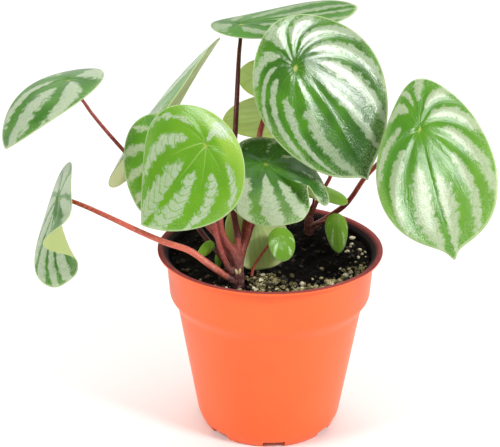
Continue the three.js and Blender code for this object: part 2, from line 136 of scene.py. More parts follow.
def spun(corners, steps):
    """Spins a profile of radius, height and corner round. It starts and ends on the axis."""
    bm = bmesh.new()
    line = [bm.verts.new((r, 0, z)) for r, z, _ in corners]
    for a, b in zip(line, line[1:]):
        bm.edges.new((a, b))
    for vert, (_, _, round_off) in zip(line, corners):
        if round_off:
            bmesh.ops.bevel(bm, geom=[vert], offset=round_off, offset_type="OFFSET", segments=4,
                            profile=0.5, affect="VERTICES", material=-1)
    bmesh.ops.spin(bm, geom=bm.verts[:] + bm.edges[:], cent=(0, 0, 0), axis=(0, 0, 1),
                   angle=math.tau, steps=steps, use_merge=True)
    bmesh.ops.remove_doubles(bm, verts=bm.verts, dist=1e-4)
    bmesh.ops.recalc_face_normals(bm, faces=bm.faces)
    return bm


inner_low = BODY_LOW_R - WALL
pot_bm = spun([
    (0, 0, 0), (BASE_R, 0, 0.8), (BODY_LOW_R, BODY_LOW, 2.5), (BODY_TOP_R, BODY_TOP, 2),
    (COLLAR_LOW_R, COLLAR_LOW, 1.6), (COLLAR_TOP_R, COLLAR_TOP, 0.8), (RIM_R, LIP_LOW + 0.4, 0.5),
    (RIM_R, RIM_TOP, 0.6), (INSIDE_R, RIM_TOP, 0.5), (COLLAR_TOP_R - WALL, COLLAR_TOP, 0.5),
    (COLLAR_LOW_R - WALL, COLLAR_LOW, 1), (BODY_TOP_R - WALL, BODY_TOP, 1),
    (inner_low, SHELF_HIGH + 1.6, 0.5), (inner_low - 0.6, SHELF_HIGH, 0), (SHELF_R, SHELF_HIGH, 0),
    (SHELF_R, FLOOR, 0), (0, FLOOR, 0),
], POT_STEPS)
# Faces inside the pot and on top of the lip take the second finish, which paints the shade in them.
for face in pot_bm.faces:
    middle = face.calc_center_median()
    facing_in = face.normal.x * middle.x + face.normal.y * middle.y < 0
    on_lip = middle.z > LIP_FACE and face.normal.z > 0.5
    face.material_index = 1 if on_lip or (facing_in and middle.z > BODY_LOW) else 0


def drain_blocks(low, high):
    """A box between two corners, repeated round the base where the drains are."""
    bm = bmesh.new()
    low, high = Vector(low), Vector(high)
    size = Matrix.Diagonal((*(high - low), 1))
    for i in range(DRAINS):
        turn = Matrix.Rotation(math.radians(DRAIN_TURN + i * 360 / DRAINS), 4, "Z")
        place = turn @ Matrix.Translation((low + high) / 2)
        bmesh.ops.create_cube(bm, size=1, matrix=place @ size)
    return bm


def keep_result(piece):
    """Makes what the modifiers give the piece's own mesh."""
    graph = bpy.context.evaluated_depsgraph_get()
    done = bpy.data.meshes.new_from_object(piece.evaluated_get(graph))
    piece.modifiers.clear()
    piece.data = done


def cut_away(piece, cutter_bm):
    """Cuts the shape out of the piece, and leaves the piece's mesh finished."""
    cutter = put_mesh("cutter", cutter_bm)
    cut = piece.modifiers.new("cut", "BOOLEAN")
    cut.object, cut.operation, cut.solver = cutter, "DIFFERENCE", "EXACT"
    keep_result(piece)
    bpy.data.objects.remove(cutter)


# Polypropylene has a soft satin skin from the mould. Fresnel gives its sides their pale sheen.
# Its colour drifts over 45 mm, its scuffs are 6 mm across and the peel of the mould 1.4 mm.
PLASTIC_IOR = 1.49
pot_plastic, tree, place = new_finish("orange_polypropylene")
clouds = add(tree, "ShaderNodeTexNoise", {"Vector": place, "Scale": 22, "Detail": 3})
scuffs = add(tree, "ShaderNodeTexNoise",
             {"Vector": place, "Scale": 180, "Detail": 6, "Roughness": 0.7})
gloss = add(tree, "ShaderNodeMapRange",
            {"Value": scuffs, "From Min": 0.3, "From Max": 0.7, "To Min": 0.34, "To Max": 0.44})
peel = add(tree, "ShaderNodeTexNoise", {"Vector": place, "Scale": 700, "Detail": 2})
skin = add(tree, "ShaderNodeBump", {"Height": peel, "Strength": 0.06, "Distance": 0.0003})
close_finish(tree, {
    "Base Color": layer(tree, "#fb601e", "#fc6e2c", clouds), "Roughness": gloss, "Normal": skin,
    "IOR": PLASTIC_IOR, "Subsurface Weight": 0.12, "Subsurface Radius": (1, 0.35, 0.15),
    "Subsurface Scale": 0.002})

# The inside and the lip are the same plastic with painted shade: near-black inside below the lip,
# and a dull brown-red on the lip's top that mottles in patches of 4 mm.
shade_painted_plastic, tree, place = new_finish("shade_painted_polypropylene")
height = add(tree, "ShaderNodeSeparateXYZ", {"Vector": place}).outputs["Z"]
lip_mottle = add(tree, "ShaderNodeTexNoise", {"Vector": place, "Scale": 240, "Detail": 5})
lip_painted_shade = layer(tree, "#7a2e2c", "#a04a48", lip_mottle)
close_finish(tree, {
    "Base Color": layer(tree, "#140807", lip_painted_shade, height, 0.1006, 0.102),
    "Roughness": 0.7, "IOR": PLASTIC_IOR, "Specular IOR Level": 0.2})

pot = make_piece(pot_bm, "nursery_pot", [pot_plastic, shade_painted_plastic], ["pot"])
cut_away(pot, drain_blocks((DRAIN_REACH, -DRAIN_WIDE / 2, -1),
                           (DRAIN_OUT, DRAIN_WIDE / 2, DRAIN_HIGH)))
cut_away(pot, drain_blocks((SLOT_IN, -SLOT_WIDE / 2, 1), (SLOT_OUT, SLOT_WIDE / 2, SHELF_HIGH + 1)))

# THE SOIL
# Damp peat mix that fills the pot to just under the rim. White perlite, tan vermiculite and
# crumbs of bark lie on it, thickest along the front edge and in a small heap by the stalks.
SOIL_LEVEL, SOIL_SLOPE, SOIL_LUMP, SOIL_EDGE = 96, 0.03, 0.7, 94
MOUND_AT, MOUND_HIGH, MOUND_WIDE = Vector((-4, -31)), 2.2, 7
COLLAR_RISE, SOIL_GAP = 24.2, 0.4
SOIL_R = (COLLAR_LOW_R - WALL + (SOIL_EDGE - COLLAR_LOW) * (COLLAR_TOP_R - COLLAR_LOW_R)
          / COLLAR_RISE - SOIL_GAP)
SOIL_STEPS, SOIL_RINGS = 160, 44
CRUMB_SCALE, CRUMB_HIGH = 0.42, 0.75


def soil_height(x, y):
    """The soil's level at a place, in millimetres: gentle lumps and one small heap."""
    lumps = (math.sin(x * 0.31 + 1.3) * math.cos(y * 0.27 - 0.4)
             + 0.6 * math.sin(x * 0.62 - y * 0.55))
    away = (Vector((x, y)) - MOUND_AT).length / MOUND_WIDE
    return SOIL_LEVEL + SOIL_SLOPE * y + SOIL_LUMP * lumps + MOUND_HIGH * math.exp(-away ** 2)


soil_bm = spun([
    (0, FLOOR + SOIL_GAP, 0), (SHELF_R - SOIL_GAP, FLOOR + SOIL_GAP, 0),
    (SHELF_R - SOIL_GAP, SHELF_HIGH + SOIL_GAP, 0), (inner_low - 0.8, SHELF_HIGH + SOIL_GAP, 0),
    (BODY_TOP_R - WALL - SOIL_GAP, BODY_TOP, 0), (COLLAR_LOW_R - WALL - SOIL_GAP, COLLAR_LOW, 0),
    (SOIL_R, SOIL_EDGE - 2, 0),
    *((SOIL_R * k / SOIL_RINGS, SOIL_LEVEL, 0) for k in range(SOIL_RINGS, -1, -1)),
], SOIL_STEPS)
for vert in soil_bm.verts:
    if vert.co.z > SOIL_EDGE:
        x, y, _ = vert.co
        crumbs = noise.fractal(Vector((x, y, 0)) * CRUMB_SCALE, 1.0, 2.0, 4)
        vert.co.z = soil_height(x, y) + CRUMB_HIGH * crumbs

# Wet peat: its own dark brown, made nearly black to paint the shade that lies in the pot. It
# scatters all it reflects. Its crumbs are 1 to 3 mm across.
peat_in_painted_shade, tree, place = new_finish("damp_peat_painted_shade")
coarse = add(tree, "ShaderNodeTexNoise",
             {"Vector": place, "Scale": 420, "Detail": 6, "Roughness": 0.7})
lumpy = add(tree, "ShaderNodeBump", {"Height": coarse, "Strength": 0.9, "Distance": 0.002})
close_finish(tree, {"Base Color": layer(tree, "#040303", "#19130d", coarse, 0.42, 0.74),
                    "Roughness": 0.95, "Specular IOR Level": 0.1, "Normal": lumpy})
make_piece(soil_bm, "soil_bed", [peat_in_painted_shade], ["soil"], sharp=180)


def grain_finish(name, dark, light, scale):
    """A dry porous grain: two tones in a mottle of about 1 mm, with no gloss."""
    finish, tree, place = new_finish(name)
    mottle = add(tree, "ShaderNodeTexNoise", {"Vector": place, "Scale": scale, "Detail": 4})
    rough = add(tree, "ShaderNodeBump", {"Height": mottle, "Strength": 0.5, "Distance": 0.0006})
    close_finish(tree, {"Base Color": layer(tree, dark, light, mottle, 0.35, 0.65),
                        "Roughness": 0.9, "Normal": rough})
    return finish


WALL_GAP, CRESCENT_WIDE = 1.2, 6


def by_the_wall(draw, middle, spread):
    """A place in a crescent of loose grains along the wall, about a turn in degrees."""
    turn = math.radians(draw.gauss(middle, spread))
    far = SOIL_R - WALL_GAP - abs(draw.gauss(0, CRESCENT_WIDE))
    return Vector((math.cos(turn), math.sin(turn))) * far


def front_edge(draw):
    return by_the_wall(draw, -66, 26)


def back_right(draw):
    return by_the_wall(draw, 28, 22)


def heap(draw):
    return MOUND_AT + Vector((draw.gauss(0, 6), draw.gauss(-2, 4.5)))


def anywhere(draw):
    turn = draw.uniform(0, math.tau)
    return Vector((math.cos(turn), math.sin(turn))) * (SOIL_R - 2) * math.sqrt(draw.random())


STALK_FEET = [(Vector((-16.3, -36)), 4.4), (Vector((21.5, 29)), 4.2), (Vector((-9.8, -25)), 2),
              (Vector((-27.3, -15)), 2.4)]
SUNK, DENT, DENT_SCALE = 0.35, 0.38, 1.1


def scatter_grains(name, finish, seed, count, sizes, places, flat, detail):
    """Sows grains by a seeded draw. Each is a small ball, dented by noise and half sunk."""
    draw = Random(seed)
    bm = bmesh.new()
    for _ in range(count):
        spot = draw.choice(places)(draw)
        size = draw.uniform(*sizes)
        turn = Matrix.Rotation(draw.uniform(0, math.tau), 4, "Z")
        tip = Matrix.Rotation(draw.uniform(-0.6, 0.6), 4, "X")
        shape = Matrix.Diagonal((draw.uniform(0.8, 1.35), draw.uniform(0.7, 1.1), flat, 1))
        clear = all((spot - foot).length > r + size for foot, r in STALK_FEET)
        if spot.length >= SOIL_R - size or not clear:
            continue
        centre = Vector((*spot, soil_height(*spot) + SUNK * size))
        where = Matrix.Translation(centre) @ turn @ tip @ shape
        ball = bmesh.ops.create_icosphere(bm, subdivisions=detail, radius=size, matrix=where)
        for vert in ball["verts"]:
            dent = DENT * noise.noise(vert.co * (DENT_SCALE / size))
            vert.co = centre + (vert.co - centre) * (1 + dent)
    return make_piece(bm, name, [finish], sharp=50)


perlite = grain_finish("perlite", "#9c9270", "#f0e8cc", 700)
vermiculite = grain_finish("vermiculite", "#5e5434", "#cabd8c", 1200)
bark = grain_finish("bark_crumbs", "#15100b", "#3a2e1e", 1100)
moss_crumbs = grain_finish("olive_crumbs", "#262110", "#827848", 900)
scatter_grains("perlite_grains", perlite, 3, 60, (0.7, 1.6),
               [front_edge, front_edge, back_right, heap], 0.85, 2)
scatter_grains("vermiculite_flakes", vermiculite, 5, 230, (0.6, 1.6),
               [front_edge, front_edge, heap], 0.7, 1)
scatter_grains("bark_grains", bark, 7, 420, (0.5, 1.4),
               [anywhere, anywhere, front_edge, heap], 0.7, 1)
scatter_grains("olive_grains", moss_crumbs, 9, 420, (0.4, 1.4),
               [heap, front_edge, front_edge], 0.9, 1)

# THE LEAVES
# Thick, fleshy blades shaped like shields. The stalk joins each one from below, off its centre,
# and the veins start there and bend towards the tip. Silver bands of air lie between the veins.

# Each main vein leaves the eye of the leaf at one angle from the tip and meets the margin at
# another. The last two values are where the silver after it starts and how much it fills.
EVEN_VEINS = (
    (-162, -150, 0.36, 0.5), (-134, -106, 0.32, 0.55), (-102, -58, 0.3, 0.6),
    (-68, -26, 0.26, 0.62), (-34, -9, 0.24, 0.62), (0, 0, 0.24, 0.62), (34, 9, 0.26, 0.62),
    (68, 26, 0.3, 0.6), (102, 58, 0.32, 0.55), (134, 106, 0.36, 0.5), (162, 150, 0.4, 0.45),
)
CENTER_VEINS = (
    (-172, -152, 0.42, 0.54), (-153, -98, 0.42, 0.5), (-136, -62, 0.4, 0.52),
    (-104, -24, 0.4, 0.54), (-58, -18, 0.36, 0.5), (-10, 4, 0.9, -0.3), (28, 28, 0.34, 0.42),
    (56, 40, 0.28, 0.56), (90, 55, 0.3, 0.56), (123, 80, 0.36, 0.58), (146, 118, 0.4, 0.58),
    (168, 150, 0.42, 0.58),
)
RIGHT_VEINS = (
    (-178, -160, 0.48, 0.62), (-162, -146, 0.46, 0.52), (-142, -102, 0.46, 0.4),
    (-100, -44, 0.3, 0.5), (-50, -24, 0.32, 0.56), (-1, 3, 0.42, 0.54), (50, 20, 0.42, 0.44),
    (84, 42, 0.38, 0.54), (118, 84, 0.28, 0.6), (144, 120, 0.4, 0.52), (166, 152, 0.5, 0.48),
)
FRONT_VEINS = (
    (-150, -132, 0.44, 0.3), (-125, -72, 0.26, 0.46), (-66, -36, 0.3, 0.62), (14, 6, 0.3, 0.46),
    (62, 38, 0.36, 0.48), (108, 62, 0.5, 0.3), (150, 112, 0.12, 0.34),
)
MIDDLE_VEINS = (
    (-150, -125, 0.6, 0), (-112, -88, 0.42, 0.6), (-64, -46, 0.2, 0.68), (-20, -14, 0.34, 0.64),
    (28, 22, 0.45, 0.54), (60, 48, 0.6, 0.2), (92, 80, 0.2, 0.14), (132, 118, 0.2, 0.14),
    (170, 165, 0.6, 0),
)
FAR_LEFT_VEINS = (
    (-165, -140, 0.5, 0.2), (-112, -90, 0.3, 0.55), (-80, -8, 0.16, 0.6), (60, 38, 0.16, 0.62),
    (126, 94, 0.2, 0.5),
)
LOW_LEFT_VEINS = (
    (-178, -140, 0.2, 0.75), (-125, -105, 0.15, 0.8), (-92, -68, 0.15, 0.75), (-50, -42, 0.2, 0.75),
    (-24, -15, 0.2, 0.75), (4, 10, 0.2, 0.8), (34, 36, 0.3, 0.35), (85, 84, 0.2, 0.8),
    (118, 112, 0.2, 0.8), (150, 150, 0.2, 0.8),
)
TOP_VEINS = (
    (-150, -120, 0.25, 0.45), (-100, -55, 0.25, 0.45), (-45, -18, 0.25, 0.45), (0, 2, 0.25, 0.45),
    (50, 24, 0.25, 0.45), (105, 65, 0.25, 0.45), (155, 130, 0.25, 0.45),
)
FRONT_REAR_VEINS = (
    (-160, -150, 0.5, 0.2), (-128, -112, 0.5, 0.34), (-98, -80, 0.46, 0.46), (-66, -52, 0.46, 0.46),
    (-36, -28, 0.5, 0.46), (0, 0, 0.5, 0.3), (50, 40, 0.5, 0.3), (100, 80, 0.5, 0.3),
    (140, 120, 0.5, 0.2),
)
BACK_LEFT_VEINS = (
    (-162, -150, 0.7, 0.1), (-134, -106, 0.7, 0.2), (-102, -58, 0.6, 0.3), (-68, -26, 0.5, 0.4),
    (-34, -9, 0.4, 0.4), (0, 0, 0.4, 0.4), (34, 9, 0.5, 0.4), (68, 26, 0.6, 0.3),
    (102, 58, 0.7, 0.2), (134, 106, 0.7, 0.1), (162, 150, 0.7, 0.1),
)
YOUNG_VEINS = (
    (-150, -120, 0.5, -0.2), (-90, -50, 0.5, -0.2), (-30, -12, 0.5, -0.2), (30, 12, 0.5, -0.2),
    (90, 50, 0.5, -0.2), (150, 120, 0.5, -0.2),
)
SPOTTED_VEINS = (
    (-150, -130, 0.5, -0.1), (-90, -70, 0.4, 0.3), (-30, -12, 0.6, -0.1), (30, 12, 0.5, 0.3),
    (90, 70, 0.5, 0.2), (150, 130, 0.5, -0.1),
)
# A tone is a patch of painted light, or of painted shade where its strength is below 0: its turn,
# spread, start and strength.
CENTER_LIGHT_AND_SHADE = ((12, 36, 0.55, -1), (-110, 70, 0.75, 0.5), (110, 50, 0.8, 0.3))
RIGHT_LIGHT_AND_SHADE = ((-80, 60, 0.7, 0.8), (-60, 60, 0, -0.3), (60, 60, 0.5, 0.3))
FRONT_LIGHT_AND_SHADE = ((165, 40, 0.3, 0.9), (100, 50, 0.7, 0.3), (0, 50, 0.2, -0.3))
MIDDLE_LIGHT_AND_SHADE = ((170, 80, 0, -1), (70, 30, 0.1, -0.5), (-50, 70, 0.4, 0.4))

# The foot is the share of the length behind the stalk. Across, along and twist bend the blade,
# in degrees. Each ruffle is a fold in the margin: its turn, spread, lift and pull inwards.
LEAF_BASE = dict(
    foot=0.3, ovate=0.2, drip=0.4, across=24, along=12, twist=0, wave=0.8, phase=0, sweep=0, lop=0,
    full=0, ruffles=(), skin="silver", under="pale", turns=150, rings=34, eye=(0, 0),
    veins=EVEN_VEINS, tones=(), wash=0, crown="front", stub=0, stalk="red")


def new_leaf(name, at, turned, size, **more):
    """A leaf's own values over the common ones. It is turned by its heading, dip and roll."""
    return SimpleNamespace(name=name, at=at, turned=turned, length=size[0], width=size[1],
                           **{**LEAF_BASE, **more})


LEAVES = [
    new_leaf("far_left", (-104, 0, 193.5), (-138, 16, 9), (67, 53), foot=0.25, ovate=0.23,
        drip=0.37, across=13, along=45, twist=6, sweep=3, skin="pale", eye=(-0.03, 0.01),
        veins=FAR_LEFT_VEINS, stub=9, radii=(1.5, 0.8),
        route=[(-17, -35, 105), (-22, -32, 112), (-28, -26.5, 119), (-36, -21, 126),
            (-46, -16, 134), (-57.3, -14, 139.2), (-67.7, -9.5, 149.3), (-77.1, -4.6, 158.3),
            (-85.9, -1, 167.5), (-93, 1, 176.1), (-97.1, 2, 182)]),
    new_leaf("low_left", (-107.5, -30, 140.5), (-110, 63, 51), (64, 52), foot=0.3, ovate=0.16,
        drip=0.38, across=14, along=31, twist=-50, wave=-2.2, phase=-20, sweep=-3.6, lop=0.04,
        ruffles=((69.5, 19, 23.5, 0), (57, 11, -8.5, 0.05)), turns=220, skin="pale",
        veins=LOW_LEFT_VEINS, stub=5, radii=(1.9, 1.1), stalk="salmon",
        route=[(-17, -36, 97), (-19.5, -36, 98.5), (-24, -37, 102), (-32, -38, 108.5),
            (-41.1, -38, 115.5), (-53.7, -38, 120.2), (-66.2, -38, 125.9), (-81.2, -37, 133.1),
            (-94, -34, 138)]),
    new_leaf("back_left", (-69.8, 35, 154), (34, -50, -45), (101, 69), foot=0.34, ovate=0.22,
        across=16, along=20, twist=9, wave=-0.5, phase=63, lop=-0.18,
        ruffles=((-92, 50, -7, -0.03), (90, 48, -4, 0)), skin="silver_open", veins=BACK_LEFT_VEINS,
        stub=8, radii=(1.5, 1.1), stalk="shaded_maroon",
        route=[(-17, -34, 100), (-22, -29, 104), (-28, -22, 108.5), (-37, -13, 116.5),
            (-46, -3, 127), (-54, 10, 137), (-60, 24, 146)]),
    new_leaf("top", (-17, 45, 211.2), (10, -5.7, -3.5), (80, 64), foot=0.19, ovate=0.21, drip=0.42,
        across=15.2, along=-2.1, twist=7.1, wave=0.7, phase=-44, sweep=1.4, lop=0.06, full=-0.06,
        skin="dusky", veins=TOP_VEINS, stub=10, radii=(1.8, 1.0), stalk="shaded_maroon",
        route=[(-17.3, -34.5, 109), (-17, -34, 116), (-17, -33, 121.5), (-18.5, -28, 128),
            (-20.5, -19, 138.5), (-20.5, -9, 151.5), (-19, -1, 162.5), (-18, 8, 180),
            (-17.5, 20, 191), (-17, 34, 199)]),
    new_leaf("center", (16.7, 0, 201.3), (-20, 51.5, 45.5), (91.5, 71.7), foot=0.295, ovate=0.13,
        drip=0.83, across=25, along=7.5, twist=0.5, wave=-0.34, phase=110, sweep=-12, lop=0.05,
        full=-0.21, ruffles=((0, 12, 0, -0.03),), turns=180, rings=40, eye=(-0.13, -0.14),
        veins=CENTER_VEINS, tones=CENTER_LIGHT_AND_SHADE, stub=11, radii=(1.8, 1.3),
        route=[(-16.5, -34, 106), (-15, -29, 111), (-14, -25.5, 119), (-12, -20, 129),
            (-9.5, -12, 137.5), (-8.5, 0, 145), (-7, 11, 152), (-5.5, 17.5, 161), (-2, 17, 172),
            (6, 12, 187)]),
    new_leaf("right", (74.8, -25, 175.8), (-89.7, 50.4, 33.7), (92.4, 62.9), foot=0.31, ovate=-0.18,
        drip=0.62, across=22.5, along=10, twist=-9.7, wave=-0.3, phase=117, sweep=24, lop=0.1,
        full=-0.16, ruffles=((0, 10, 0, -0.06),), turns=180, rings=40, skin="silver_open",
        eye=(-0.05, -0.05), veins=RIGHT_VEINS, tones=RIGHT_LIGHT_AND_SHADE, crown="rear", stub=7,
        radii=(1.6, 1.1),
        route=[(22, 29, 100), (29, 31, 104), (36, 30, 109.5), (41, 26, 115.5), (45, 20, 124),
            (50, 11, 137), (60, -4, 155), (70, -14, 166.5)]),
    new_leaf("front", (-33.9, -48, 176.2), (179.6, 59, -53.6), (70, 62.8), foot=0.22, ovate=0.31,
        drip=0.57, across=23.6, along=9, twist=12.8, wave=2, phase=70, sweep=-10.4, full=-0.12,
        turns=180, rings=40, skin="fresh", eye=(-0.05, 0.04), veins=FRONT_VEINS, tones=FRONT_LIGHT_AND_SHADE,
        wash=0.35, stub=10, radii=(2.0, 1.2),
        route=[(-17, -35, 108), (-19, -35, 113.5), (-22, -35, 118), (-25, -34, 123.5),
            (-26, -34, 130), (-25, -34, 147), (-27, -36.5, 162)]),
    new_leaf("front_rear", (-43.9, -30.3, 166.2), (-177.3, 56, -58.8), (54.2, 60.8), foot=0.26,
        ovate=0.2, drip=0.44, across=25.5, along=12.4, twist=-1.2, wave=0.45, phase=34, sweep=-4.8,
        lop=-0.04, full=-0.12, ruffles=((106, 40, 0, 0.62),), skin="silver_open",
        veins=FRONT_REAR_VEINS, stub=7, radii=(1.4, 1.0),
        route=[(-17, -36, 102), (-21, -37.2, 105), (-23.5, -38.3, 111), (-26.5, -38.5, 120),
            (-29, -37, 130), (-34, -28, 145), (-38, -22, 158)]),
    new_leaf("middle", (-3.5, -10, 152), (-57, 21, 9), (66, 54), foot=0.35, ovate=0.04, drip=0.37,
        across=50, along=7, twist=5, wave=-1.2, phase=-94, sweep=-7.4, lop=-0.04,
        ruffles=((30, 6, 10.3, 0.17), (48, 21, -3.2, -0.11), (29, 19, 0, 0.11),
            (-140, 24, 0, 0.42)),
        turns=240, rings=40, skin="shaded", eye=(-0.01, 0.03), veins=MIDDLE_VEINS,
        tones=MIDDLE_LIGHT_AND_SHADE, stub=10, radii=(1.5, 1.1),
        route=[(-16.5, -34, 109), (-15, -32, 114), (-13, -30, 118.5), (-11, -27, 125.5),
            (-8.5, -19, 134.5), (-5.5, -12.5, 143)]),
    new_leaf("behind_upper", (-8.5, 38, 184), (-4, 2, -86), (42, 23), foot=0.22, skin="fresh",
        under="thin", turns=110, rings=24, crown="rear", stub=9, radii=(1.1, 0.8),
        route=[(21, 29.5, 107), (20, 31.5, 118), (18, 33, 130), (12, 33, 150), (0, 31, 170),
            (-6, 31, 179)]),
    new_leaf("behind_lower", (7, 28, 167), (-178, 5, 82), (50, 28), foot=0.34, skin="fresh",
        under="thin", turns=110, rings=24, crown="rear", stub=9, radii=(1.2, 0.8),
        route=[(22, 28, 107), (25, 28, 115), (29.5, 29, 124), (33, 28, 133), (29, 23, 150),
            (19, 19, 161), (11, 20, 165.5)]),
    new_leaf("small_round", (5.6, -26, 118), (-81, 50, -18), (18, 15.5), foot=0.31, ovate=0.08,
        drip=0.2, across=23, along=28, wave=0.2, skin="young", veins=SPOTTED_VEINS, turns=90,
        rings=18, crown="soil", radii=(0.9, 0.6), stalk="salmon",
        route=[(-9.8, -25, 88), (-9.8, -25, 96.5), (-8.9, -25, 100.5), (-5.2, -24.5, 107.2),
            (0, -23.3, 113.6)]),
    new_leaf("small_pointed", (35, 8, 116), (-77, 56, -8), (21.5, 13), foot=0.08, ovate=0.28,
        drip=0.4, across=35, along=18, wave=0.3, skin="young", veins=SPOTTED_VEINS, turns=90,
        rings=18, crown="rear", stub=5, radii=(0.9, 0.6),
        route=[(23, 28, 103), (27, 25, 105), (31, 19, 109), (33.5, 14, 112)]),
    new_leaf("hanging", (-7.7, -14, 126.1), (-57, 74, -165), (44, 37), foot=0.25, across=26,
        along=8, ruffles=((0, 35, 0, 0.12), (180, 40, 0, 0.3), (-115, 30, 0, 0.4)), skin="fresh",
        under="thin", turns=110, rings=24, stub=7, radii=(1.1, 0.8),
        route=[(-16.3, -34.5, 99), (-15.7, -30, 102.5), (-14.5, -26.5, 106.5), (-13.2, -24, 111),
            (-11.8, -22.3, 114.6), (-9.9, -20.2, 120.5)]),
    new_leaf("small_back", (23.5, 16, 128), (-17, 2, 6), (25, 17), foot=0.22, across=20, along=40,
        wave=0.5, skin="young", veins=YOUNG_VEINS, turns=90, rings=18, crown="rear", stub=6,
        radii=(0.9, 0.6),
        route=[(22, 28.5, 108), (22.5, 26, 113.5), (23.5, 21, 118.5)]),
    new_leaf("small_folded", (-30.3, -27, 114.9), (-150, 35, -60), (11, 6), foot=0.1, across=60,
        along=20, wave=0.3, skin="young", veins=YOUNG_VEINS, turns=70, rings=14, stub=6,
        radii=(0.8, 0.5), stalk="shaded_maroon",
        route=[(-17, -35, 101.5), (-21.5, -32.5, 105.5), (-25, -28, 110.2), (-28.8, -24.6, 113.5)]),
]

# How sharply veins bend, how bare of silver green skin is, half the thickness of a blade and of
# its edge, how far the skin swells between veins, and the dimple over the stalk
BEND, BARE = 3, 0.5
BLADE_HALF, EDGE_HALF = 0.4, 0.16
QUILT, DIMPLE, DIMPLE_SHARE = 0.3, 0.7, 0.09
DRIP_SPREAD, LIFT_POWER, STEP_SHIFT = 0.42, 2.2, 0.45
RIM_GREEN, WASH_SPREAD = 0.25, 34


def wrapped(angle):
    return math.atan2(math.sin(angle), math.cos(angle))


def bell(angle, middle, spread):
    """A bump of height 1 about a turn, with its middle and spread in degrees."""
    return math.exp(-(wrapped(angle - math.radians(middle)) / math.radians(spread)) ** 2)


def ease(value, low, high):
    """0 below the low value, 1 above the high one and smooth between."""
    share = max(0, min(1, (value - low) / (high - low)))
    return share * share * (3 - 2 * share)


def leaf_outline(leaf, turn):
    """The margin's place in the flat leaf, at a turn about the stalk from the tip."""
    c, s = math.cos(turn), math.sin(turn)
    x = leaf.length * (0.5 * c + 0.5 - leaf.foot)
    narrow = 1 - leaf.drip * math.exp(-(wrapped(turn) / DRIP_SPREAD) ** 2)
    egg = (1 - leaf.ovate * c) * (1 + leaf.lop * s) * (1 + leaf.full * c * c)
    y = leaf.width / 2 * s * egg * narrow + leaf.sweep * x * abs(x) / leaf.length ** 2
    pull = 1 - sum(inward * bell(turn, at, spread) for at, spread, _, inward in leaf.ruffles)
    return x * pull, y * pull


def about_eye(leaf, rho, turn):
    """A place in the leaf's disc as its share of the way from the eye to the margin, and turn."""
    eye = Vector(leaf.eye)
    away = Vector((rho * math.cos(turn), rho * math.sin(turn))) - eye
    if away.length < 1e-6:
        return 0, 0
    along = away.normalized().dot(eye)
    margin = math.sqrt(along * along + 1 - eye.length_squared) - along
    return away.length / margin, math.atan2(away.y, away.x)


def vein_place(leaf, rho, turn):
    """A place among the veins: veins passed, share of the way out, silver, and painted light and
    shade.
    """
    share, about = about_eye(leaf, rho, turn)
    veins = leaf.veins
    bent = 1 - share ** BEND
    lines = [math.radians(end + (start - end) * bent) for start, end, _, _ in veins]
    while about < lines[0]:
        about += math.tau
    lines.append(lines[0] + math.tau)
    i = max(k for k in range(len(veins)) if about >= lines[k])
    count = i + (about - lines[i]) / (lines[i + 1] - lines[i])
    a = math.floor(count - 0.5)
    mix = count - 0.5 - a
    fills = [(fill + BARE) * ease(share, start - 0.1, start + 0.12) - BARE
             for _, _, start, fill in (veins[a % len(veins)], veins[(a + 1) % len(veins)])]
    silver = fills[0] + (fills[1] - fills[0]) * mix
    silver += leaf.wash * ease(share, 0.5, 0.85) * bell(about, 0, WASH_SPREAD)
    painted_light_and_shade = sum(strength * ease(share, start, start + 0.3) * bell(about, at, spread)
               for at, spread, start, strength in leaf.tones)
    return count, share, silver - RIM_GREEN * ease(share, 0.88, 1), painted_light_and_shade


def leaf_local(leaf, rho, turn):
    """The middle of the blade in the leaf's own axes: tip, side and face, in millimetres."""
    xo, yo = leaf_outline(leaf, turn)
    x, y = rho * xo, rho * yo
    kw = math.radians(leaf.across) / leaf.width
    kl = math.radians(leaf.along) / leaf.length
    rise = rho ** LIFT_POWER
    h = -(1 - math.cos(kw * y)) / kw
    h += leaf.wave * rise * math.sin(3 * turn + math.radians(leaf.phase))
    h += sum(lift * rise * bell(turn, at, spread) for at, spread, lift, _ in leaf.ruffles)
    big = leaf.length / 80
    inside = max(0, min(1, (rho - 0.1) * 5)) * max(0, min(1, (1 - rho) * 8))
    swell = 0.5 - 0.5 * math.cos(math.tau * vein_place(leaf, rho, turn)[0])
    h += QUILT * big * inside * swell
    h -= DIMPLE * big * math.exp(-(about_eye(leaf, rho, turn)[0] / DIMPLE_SHARE) ** 2)
    side = math.sin(kw * y) / kw
    tw = math.radians(leaf.twist) * x / leaf.length
    side, h = side * math.cos(tw) - h * math.sin(tw), side * math.sin(tw) + h * math.cos(tw)
    a = kl * x
    return Vector((math.sin(a) / kl + h * math.sin(a), side,
                   -(1 - math.cos(a)) / kl + h * math.cos(a)))


def leaf_axes(leaf):
    """The leaf's place as a matrix: its tip along X, its side along Y and its face along Z."""
    psi, dip, roll = (math.radians(turn) for turn in leaf.turned)
    tip = Vector((math.cos(dip) * math.cos(psi), math.cos(dip) * math.sin(psi), -math.sin(dip)))
    level = Vector((-math.sin(psi), math.cos(psi), 0))
    over = tip.cross(level)
    side = level * math.cos(roll) + over * math.sin(roll)
    face = over * math.cos(roll) - level * math.sin(roll)
    turned = Matrix((tip, side, face)).transposed().to_4x4()
    return Matrix.Translation(leaf.at) @ turned


